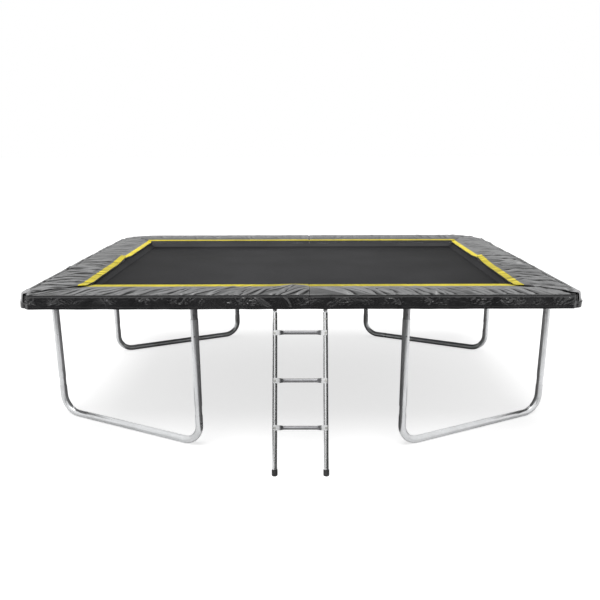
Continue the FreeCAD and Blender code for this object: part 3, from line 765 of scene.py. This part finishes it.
def pad_top(side, s, u, half=None):
    """Height of the pads' top at a place, with crown, drooping edges and laps, and what its folds add to it.

    half is 0 or 1 for the first or the second pad of a side; without it the place itself says which.
    """
    s, u = np.broadcast_arrays(np.asarray(s, float), u)
    length = side_lengths[side]
    seam = seam_at[side]
    first = s < seam if half is None else np.full(s.shape, half == 0)
    rim = np.maximum(rim_from(side, s, u), 0)
    z = pad_high + pad_crown * (1 - ((np.clip(u, 0.045, 0.288) - 0.166) / 0.122) ** 2)
    z = z - 0.002 * ease((u - 0.290) / 0.010) ** 2
    keep = (ease(rim / 0.05) * 0.92 + 0.08) * (1 - 0.8 * ease((u - inner_droop_from) / 0.03))
    wave = 0.0026 * ripple(s, u * 2.2, 0.24, wave_seed[side])
    folds = np.where(first, folds_over(side, 0, s, u), folds_over(side, 1, s, u))
    if side == "front":
        z = z - 0.0020 * fading(rim, 0.012, 2)
        z = z - 0.0125 * ease((u - 0.09) / 0.165) + 0.0045 * ease((u - 0.254) / 0.046)
        z = z + np.where(first, lap_swell * hump(s - seam + 0.085, 0.075) * hump(u - 0.215, 0.06), 0.0)
        keep = ease(rim / 0.020) * (1 - 0.92 * ease((u - 0.185) / 0.05))
    elif side == "back":
        z = z + back_raised - 0.0125 * fading(rim, 0.035, 2.1)
        z = z - 0.0030 * ease((u - inner_droop_from) / inner_droop_over)
        wave = wave * 0.3
    else:
        mitre = from_front_mitre(side, s, u)
        z = z - (0.0030 + 0.0145 * ease(mitre / 0.10)) * fading(rim, 0.045, 2.1)
        z = z - 0.0070 * ease((u - inner_droop_from) / inner_droop_over)
        near_half = first if side == "right" else ~first
        from_lap = np.where(first, seam + lap - s, s - seam + lap)
        z = z + np.where(near_half, (0.0030 + 0.0105 * (u / pad_band) ** 2) * ease(1 - from_lap / 0.25), 0.0)
        z = z + (0.0100 - 0.0050 * ease((u - 0.16) / 0.10)) * ease(1 - mitre / 0.09)
        z = z - seam_groove * (hump(rim - seam_line, 0.0045) - 0.5 * hump(rim - seam_line + 0.012, 0.007))
    from_back_corners = {"right": [length - s + u], "back": [s + u, length - s + u], "left": [s + u]}
    for off in from_back_corners.get(side, []):
        z = z - corner_fall * fading((off - back_cut) / 1.414, 0.12, 1.4)
    return z + (folds + wave) * keep, folds * keep


def pad_under(side, s, u):
    """Height of the pads' underside, which dips a little outside the rail and lifts over a neighbour's end."""
    low = pad_low - 0.0085 * fading(rim_from(side, s, u), 0.026, 1.6) - 0.0025 * ease((u - 0.24) / 0.05)
    lifted = pad_high + 0.0030 - pad_low
    return low + lifted * ease(1 - (from_front_mitre(side, s, u) - 0.024) / 0.016)


def point_values(piece, name, top, under):
    """Write a value or a triple for each point of a piece's top and underside, for its finish to read."""
    values = np.concatenate((top, under[:, ::-1]), axis=1)
    kind, field = ("FLOAT_VECTOR", "vector") if values.ndim == 3 else ("FLOAT", "value")
    attribute = piece.data.attributes.new(name, kind, "POINT")
    attribute.data.foreach_set(field, values.reshape(-1).astype(np.float32))


def pad(name, side, half):
    """One pad as a closed cushion with rounded edges and ends, and how loose its cover is at each point."""
    length = side_lengths[side]
    seam = seam_at[side]
    on_side = side in side_pads
    near_half = on_side and (side == "right") == (half == 0)

    # Columns of points from the outer edge inwards, close together at the edges and seams.
    strip_from = 0.2540 if side == "front" else (0.2600 if near_half else 0.2680)
    top_u = np.concatenate((
        [0.0, 0.0015, 0.005, 0.010, 0.016, 0.022, 0.028, 0.034, 0.040, 0.0455, 0.0485, 0.0515, 0.0550],
        np.linspace(0.061, strip_from - 0.007, 33), [strip_from - 0.0012, strip_from],
        np.linspace(strip_from + 0.006, 0.2925, 6), [0.2965, 0.2995]))

    # Rows of points from the corner to the lap, or from the lap to the corner, close together at both ends.
    to_lap = lap if near_half else (-lap_gap if on_side else 0.0)
    lap_s = np.full(top_u.shape, seam - to_lap if half else seam + to_lap)
    past_corner = side_pad_reach(top_u) if near_half else (far_end_over if on_side else -corner_gap)
    corner_s = np.maximum(top_u - past_corner, cut_by_end[side][half] - top_u)
    from_s, to_s = (lap_s, length - corner_s) if half else (corner_s, lap_s)
    span = length - seam if half else seam
    end_rows = np.array([0.0, 0.0012, 0.003, 0.006, 0.010])
    middle_rows = np.arange(0.015, span - 0.015, pad_point_gap[side])
    share = np.concatenate((end_rows, middle_rows, span - end_rows[::-1])) / span
    s = from_s + (to_s - from_s) * share[:, None]
    u = np.broadcast_to(top_u, s.shape).copy()
    tip = np.abs(s - lap_s)
    from_end = np.minimum(share, 1 - share)[:, None] * span

    # The near halves widen towards the corner, wave along the inner edge and curl up at the lap.
    if near_half:
        u += near_widened * fading(from_front(side, s) - 0.24, 0.70, 1) * (u / pad_band) ** 3
        wave = 0.0013 * ripple(s, 0 * s, 0.20, wave_seed[side] + 41)
        wave = wave + 0.004 * ease(1 - np.abs(tip - 0.3) / 0.3)
        u += wave * (u / pad_band) ** 3
        curl = curl_radius - np.sqrt(curl_radius ** 2 - (curl_radius - np.minimum(tip, curl_radius)) ** 2)
        u -= curl * ease((u - 0.255) / 0.045) * 0.36
    u += rim_pull(side, s) * fading(u, 0.24, 1)
    high, fold_shade_and_sheen = pad_top(side, s, u, half)
    low = pad_under(side, s, u)
    if near_half:
        low = low + 0.0165 * ease(1 - (tip - lap) / 0.02) * ease(rim_from(side, s, u) / 0.03)
    elif on_side:
        high = high - 0.005 * ease(1 - np.abs(s - seam) / 0.07)
        past_lap = np.abs(s - seam) - lap
        u = u + (0.006 - 0.016 * ease(1 - past_lap / 0.08)) * (u / pad_band) ** 3
    low = np.minimum(low, high - pad_least)
    middle = (high + low) / 2
    fat = np.sqrt(1 - (1 - np.clip(from_end / end_rounding, 0.02, 1)) ** 2)
    high = middle + (high - middle) * fat
    low = middle + (low - middle) * fat
    under_u = u + np.where(top_u < 0.02, 0.002, np.where(top_u > 0.285, -0.0015, 0))
    rows = np.concatenate((at(side, s, u, high), at(side, s, under_u, low)[:, ::-1]), axis=1)
    on_strip = top_u[:-1] >= strip_from - 0.0001
    marks = [*np.where(on_strip, 2, 0).tolist(), 0, *[1] * len(on_strip), 0]
    cushion = skin("pad_" + name, rows, [cover_sheet, backing_sheet, edging_sheet], marks)

    # The finish places its stitches by lay, which is past their rows on the front and back pads, and paints
    # shade into the fold valleys and sheen onto the crests by fold_shade_and_sheen.
    flat = np.stack((s, np.broadcast_to(top_u if on_side else top_u + 0.3, s.shape), 0 * s), axis=-1)
    point_values(cushion, "lay", flat, flat + (0, 0.5, 0))
    # The front pads get a painted shadow along the side pads' ends and painted shade near their seam; the side
    # pads' near halves get stronger painted shade, and their far halves painted sheen.
    if side == "front":
        off_side = np.minimum(s, length - s)
        fold_shade_and_sheen = fold_shade_and_sheen * 2.0 - 0.0011 * hump(s - seam, 0.38)
        fold_shade_and_sheen = fold_shade_and_sheen - 0.0085 * hump(off_side - u - side_pad_reach(off_side), 0.024)
    elif near_half:
        fold_shade_and_sheen = fold_shade_and_sheen * 1.5 - 0.0002
    elif on_side:
        fold_shade_and_sheen = fold_shade_and_sheen * 0.5 + 0.0014
    point_values(cushion, "fold_shade_and_sheen", fold_shade_and_sheen, 0 * fold_shade_and_sheen)
    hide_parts("pad_cover_" + name, "pad_foams", "pad_backings", "pad_edging")
    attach(cushion, "frame")
    loose = ease((top_u - 0.020) / 0.040) * ease((strip_from - 0.004 - top_u) / 0.020)
    loose = loose * ease((from_end - 0.006) / 0.03)
    if side == "front":
        loose = loose * ease((off_side - u - 0.10) / 0.15)
    return cushion, loose


def settle(cushions):
    """The covers settle as cloth, a little longer than the foam that blows them up, with their seams held."""
    scene = bpy.context.scene
    sheets = []
    for cushion, loose in cushions:
        rows, columns = loose.shape
        places = np.empty(len(cushion.data.vertices) * 3)
        cushion.data.vertices.foreach_get("co", places)
        places = places.reshape(-1, 3)
        numbers = (np.arange(rows)[:, None] * 2 * columns + np.arange(columns)).reshape(-1)
        top = places[numbers]
        index = np.arange(rows * columns).reshape(rows, columns)
        quads = np.stack((index[:-1, :-1], index[1:, :-1], index[1:, 1:], index[:-1, 1:]), axis=-1)
        quads = quads.reshape(-1, 4)
        one, two, three = top[quads[len(quads) // 2][:3]]
        if np.cross(two - one, three - two)[2] < 0:
            quads = quads[:, ::-1]
        sheet = new_piece("settling", top.tolist(), quads.tolist(), [])
        held = sheet.vertex_groups.new(name="held")
        held.add(np.flatnonzero(loose <= 0).tolist(), 1.0, "REPLACE")
        cloth = sheet.modifiers.new("settling", "CLOTH")
        for setting, value in cover_cloth.items():
            setattr(cloth.settings, setting, value)
        cloth.settings.effector_weights.gravity = 0
        cloth.collision_settings.use_collision = False
        sheets.append((sheet, cushion, places, numbers, loose.reshape(-1, 1)))
    for moment in range(1, settle_frames + 1):
        scene.frame_set(moment)
    settled = bpy.context.evaluated_depsgraph_get()
    for sheet, cushion, places, numbers, loose in sheets:
        after = np.empty(len(numbers) * 3)
        sheet.evaluated_get(settled).data.vertices.foreach_get("co", after)
        move = after.reshape(-1, 3) - places[numbers]
        farthest = np.linalg.norm(move, axis=1).max()
        places[numbers] += move * min(1.0, settle_most / farthest) * loose
        cushion.data.vertices.foreach_set("co", places.reshape(-1))
        cushion.data.update()
    scene.frame_set(1)
    for sheet, *_ in sheets:
        mesh = sheet.data
        bpy.data.objects.remove(sheet)
        bpy.data.meshes.remove(mesh)


cushions = [pad(name, side, half) for side, names in halves.items() for half, name in enumerate(names)]
settle(cushions)

# Aprons inside the pads
# A band of the mat's own weave hangs from under the pads' inner edge down to the mat and hides the springs.
# The back one, which is seen face on, is painted a little paler: painted sheen, to match the mat beyond it.
apron_weave = weave_finish("apron_weave", (0.028, 0.028, 0.0295), 0.0016, 0.62, 0.10)
back_apron_sheen_weave = weave_finish("back_apron_sheen_weave", (0.051, 0.051, 0.0525), 0.0016, 0.62, 0.10)
apron_from = 0.2970
apron_width = 0.0480
apron_top_z = 0.8680
apron_off_mat = 0.0009
apron_sheet = 0.0010
apron_share = np.linspace(0, 1, 9)
for side, length in side_lengths.items():
    u = apron_from + apron_width * apron_share
    s = u + (length - 2 * u) * np.linspace(0, 1, 220)[:, None]
    lay = at(side, s, u, 0.0)
    lowest = mat_height(lay) + apron_off_mat
    wave = 0.0007 * ripple(s, 0 * s, 0.17, 62) * (1 - apron_share)
    lay[..., 2] = apron_top_z - (apron_top_z - lowest) * apron_share ** 0.75 + wave
    weave = back_apron_sheen_weave if side == "back" else apron_weave
    apron = sheet_piece("pad_apron_" + side, lay, apron_sheet, weave)
    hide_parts("pad_backings")
    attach(apron, "frame")

# Skirts
# A strip of thin glossy black coated sheet is sewn under the pads' outer edge and hangs over the rail. It is
# crumpled where it passes the pad's lower edge, and has a narrow hem. The side ones wrap the corners.
skirt_black = (0.019, 0.019, 0.020)
skirt_sheet = coated_finish("skirt_sheet", skirt_black, 0.17, 0.18, 0.75, (0.064,), (0.014, 0.014, 0.015))
skirt_thick = 0.0012
skirt_top_z = 0.888
skirt_edge_z = {"front": 0.8845, "right": 0.884, "back": 0.872, "left": 0.884}
skirt_drop = 0.078
hem_z = 0.8115
front_skirt_from = 0.066
back_skirt_from = 0.106
skirt_off_edge = 0.0024
crushed_height = 0.0062
fine_crushed_height = 0.0024
wave_height = 0.0020
fine_wave_height = 0.0012
streak_height = 0.0042
streak_width = 0.0050
top_columns = 4
down_columns = 30
skirt_ends_in = {"front": 0.012, "right": 0.004, "back": 0.0, "left": 0.004}
skirt_point_gap = {"front": 0.0036, "right": 0.0052, "back": 0.0075, "left": 0.0052}

# The side skirts' way round the corners: distances along the side and in from its edge.
round_front = [(0.014, 0.074), (0.030, 0.036), (0.125, 0.003)]
round_back = [(-0.006, 0.112), (0.105, 0.0)]

# Slanting pulls in the front skirt: each one's distance from the middle and height at its top and at its foot.
skirt_streaks = [(-0.245, 0.878, -0.160, 0.822), (-0.215, 0.872, -0.150, 0.828),
                 (-0.090, 0.880, -0.045, 0.822), (-0.075, 0.872, -0.050, 0.830),
                 (0.245, 0.878, 0.150, 0.822), (0.200, 0.872, 0.135, 0.832)]


def creases(r, z, scale, seed):
    """Thin wandering ridges, as in sheet that has been crushed and pulled straight again."""
    bend = 0.5 * scale * ripple(r, z, scale * 1.1, seed + 90)
    wander = ripple(r * 0.8 + bend, (z + bend) * 1.9, scale, seed)
    strong = 0.12 + 0.88 * ease(0.2 + 1.3 * ripple(r, z, 0.16, seed + 91))
    return strong * (1 - np.minimum(np.abs(wander) / 0.34, 1)) ** 1.3


def skirt(side):
    """One side's skirt; the side ones also pass round the corners."""
    length = side_lengths[side]
    wraps = side in side_pads
    if wraps:
        first, last = (round_front, round_back) if side == "right" else (round_back, round_front)
        plan = [(a, b, 0) for a, b in first] + [(length - a, b, 0) for a, b in reversed(last)]
        path = rounded(plan, 0.055, 15)
    else:
        end = front_skirt_from if side == "front" else back_skirt_from
        path = np.array([(end, 0, 0), (length - end, 0, 0)])
    lengths = np.concatenate(([0], np.cumsum(np.linalg.norm(np.diff(path, axis=0), axis=1))))
    run = np.append(np.arange(0, lengths[-1], skirt_point_gap[side]), lengths[-1])
    s = np.interp(run, lengths, path[:, 0])[:, None]
    u = np.interp(run, lengths, path[:, 1])[:, None]
    way = np.concatenate((np.gradient(s, axis=0), np.gradient(u, axis=0)), axis=1)
    way /= np.linalg.norm(way, axis=1, keepdims=True)
    inward_s, inward_u = -way[:, 1:], way[:, :1]
    pulled = rim_pull(side, np.clip(s, 0, length))
    wanted = skirt_edge_z[side]
    if wraps:
        off = from_front(side, s)
        pulled = pulled * ease((off - 0.06) / 0.06)
        pulled = pulled + (0.012 - pulled) * ease(u / 0.105) * (off > 1)
        wanted = wanted - 0.011 * ease((off - 0.02) / 0.2)
        wanted = wanted - 0.030 * ease((off - 0.012) / 0.02) * ease((0.150 - off) / 0.05)

    # A few columns lie under the pad's edge, and the others go down to the hem.
    under = np.concatenate((np.linspace(0.010, 0.0015, top_columns), np.zeros(down_columns)))
    share = np.concatenate((np.zeros(top_columns), np.linspace(0.0, 1.0, down_columns)))
    drawn_in = under + pulled * (1 - ease(share / 0.30))
    edge_s = s + inward_s * (0.004 + pulled)
    edge_u = u + inward_u * (0.004 + pulled)
    edge_z = pad_top(side, edge_s, np.maximum(edge_u, 0.0))[0] - 0.0012
    edge_z = np.clip(edge_z, wanted - 0.006, wanted + 0.002)
    lower = hem_z + (0.0 if side == "front" else 0.001) * s
    z = np.where(share > 0, edge_z - (edge_z - lower) * share, edge_z + 0.0016)
    r = np.broadcast_to(run[:, None], z.shape)
    drop = (skirt_top_z - z) / skirt_drop
    below = (edge_z - z) / 0.075
    seed = wave_seed[side]
    crushed = ease((below - 0.07) / 0.14) * ease((0.74 - drop) / 0.20)
    push = skirt_off_edge + crushed_height * crushed * creases(r, z, 0.100, seed + 1)
    push = push + fine_crushed_height * crushed * creases(r, z, 0.052, seed + 2)
    push = push + wave_height * ripple(r, 0.35 * z, 0.24, seed + 3) * ease((drop - 0.2) / 0.5)
    push = push + fine_wave_height * ripple(r, z, 0.12, seed + 4) * ease((drop - 0.15) / 0.3)
    if side == "front":
        along = r + front_skirt_from
        for top_s, top_z, foot_s, foot_z in skirt_streaks:
            slope = (foot_s - top_s) / (foot_z - top_z)
            off = along - length / 2 - top_s - slope * (z - top_z)
            reach = ease((z - foot_z) / 0.012) * ease((top_z - z) / 0.008)
            push = push + streak_height * reach * hump(off, streak_width)
        push = push - 0.0030 * hump(along - seam_at["front"], 0.0030)
    push = push * ease((below + 0.01) / 0.18)
    push = push - skirt_ends_in[side] * (1 - ease(np.minimum(r, lengths[-1] - r) / 0.022))
    middle = at(side, s + inward_s * (drawn_in - push), u + inward_u * (drawn_in - push), z)
    cloth = sheet_piece("skirt_" + side + "_cloth", middle, skirt_thick, skirt_sheet)
    flat = np.stack((r, skirt_top_z - z, 0 * z), axis=-1)
    point_values(cloth, "lay", flat, flat)
    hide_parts("skirt_" + side)
    if side == "front":
        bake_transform(cloth)
    else:
        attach(cloth, "frame")


for side in side_lengths:
    skirt(side)

# Corner flaps
# At the front corners a tongue of coated sheet, sewn to the side pad's cover, lies on the pad and is turned
# down over the skirt's end. Its pale grey, much paler than the cover, is painted sheen.
flap_sheen_sheet = coated_finish("flap_sheen_sheet", (0.42, 0.42, 0.425), 0.45, 0.5, 0.4)
flap_thick = 0.0014
flap_off_pad = 0.0022
flap_highest = 0.8965
flap_low_z = 0.8400
flap_from_side = 0.013
flap_from_front = 0.108
flap_run = 1.22

# Along the flap, and across it from its inner edge: above 0 it lies on the pad, and below 0 it is turned down.
flap_share = np.linspace(0, flap_run, 30)
flap_in = np.array([0.046, 0.036, 0.030, 0.024, 0.018, 0.012, 0.006, 0.001,
                    -0.0015, -0.0030, -0.0042, -0.0052, -0.0060, -0.0064])
turned_down = flap_in < 0
down_share = np.cumsum(turned_down) / turned_down.sum()
for side in ("left", "right"):
    pad_name = "pad_cover_" + side + "_front"
    rows = []
    for t in flap_share:
        from_side = flap_from_side + 0.038 * t ** 1.3 + flap_in * 0.75
        off_front = flap_from_front - 0.082 * t + flap_in * 0.65
        top = pad_top(side, from_front(side, off_front), np.maximum(from_side, 0))[0] + flap_off_pad
        top = np.minimum(top, flap_highest)
        edge_z = top[~turned_down][-1]
        low_z = flap_low_z + 0.012 * abs(2 * t / flap_run - 1) ** 3
        z = np.where(turned_down, edge_z - (edge_z - low_z) * down_share, top)
        z = z + 0.0012 * math.sin(9 * t + 1) * (z < 0.88)
        s_front = from_side if side == "left" else side_lengths["front"] - from_side
        rows.append(at("front", s_front, off_front, z))
    rows = np.array(rows if side == "left" else rows[::-1])
    flap = sheet_piece("corner_flap_" + side, rows, flap_thick, flap_sheen_sheet)
    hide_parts(pad_name)
    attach(flap, "frame")

# Ties
# Narrow black webbing straps, with both ends sewn to the pads' backing, that go round the rail and hold the
# pads down.
tie_width = 0.014
tie_sheet = 0.0014
tie_radius = 0.0225
tie_top_z = 0.8705
rail_in = 0.032
first_tie = 0.330
ties_along = {"front": 6, "right": 4, "back": 6, "left": 4}
turn = np.linspace(math.radians(-38), math.radians(218), 22)
tie_profile = np.stack((rail_in + tie_radius * np.cos(turn), mat_z - tie_radius * np.sin(turn)), axis=1)
tie_profile = np.concatenate(([(0.0548, tie_top_z)], tie_profile, [(0.0092, tie_top_z)]))
ties = []
for side, length in side_lengths.items():
    for s in np.linspace(first_tie, length - first_tie, ties_along[side]):
        ties.append(strap(side, s, tie_profile, tie_width, tie_sheet))
ties = joined("pad_ties_straps", ties)
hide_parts("pad_ties")
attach(ties, "frame")

# Ladder
# Two leaning galvanised tubes with flat hooks over the front rail, three rungs of tube pressed flat at the
# ends and screwed on, and black rubber caps on the feet.
pressed_from = 0.108
pressed_over = 0.004
pressed_end_glare = (0.88, 0.885, 0.89, 1)
ladder_zinc = zinc_finish("ladder_zinc", (0.74, 0.745, 0.75), (0.86, 0.865, 0.87), 0.004, 0.24)
# The rungs' zinc is a far darker copy of the ladder's: painted shade. Their pressed flat ends are coloured
# near white: a painted reflection of the bright sky.
rung_zinc_shade_and_glare = zinc_finish("rung_zinc_shade_and_glare", (0.20, 0.20, 0.205), (0.30, 0.30, 0.31), 0.006, 0.48)
end_glare_share = node(rung_zinc_shade_and_glare.node_tree, "MapRange", {"Value": aside(rung_zinc_shade_and_glare.node_tree),
                                                 "From Min": pressed_from - pressed_over,
                                                 "From Max": pressed_from + pressed_over})
recolour(rung_zinc_shade_and_glare, end_glare_share, pressed_end_glare, "MIX")


def rubber_finish(name, colour, roughness):
    """Moulded rubber: a fine grain under broader grey scuffs."""
    finish, tree, shader = new_finish(name, colour, roughness)
    place = node(tree, "TexCoord").outputs["Object"]
    grain = node(tree, "TexNoise", {"Vector": place, "Scale": 900.0, "Detail": 3.0})
    scuffs = node(tree, "TexNoise", {"Vector": place, "Scale": 70.0, "Detail": 5.0})
    bump = node(tree, "Bump", {"Strength": 0.3, "Distance": 0.0004, "Height": grain})
    tones = two_tones(tree, scuffs, (0.014, 0.014, 0.015), (0.05, 0.05, 0.048), 0.45, 0.8)
    feed(shader, {"Base Color": tones, "Normal": bump})
    return finish


dress(("ladder_tube", "ladder_hook"), ladder_zinc)
dress("rung_", rung_zinc_shade_and_glare)
dress("ladder_foot_cap", rubber_finish("cap_rubber", (0.018, 0.018, 0.019), 0.62))
dress("ladder_screws", screw_zinc)
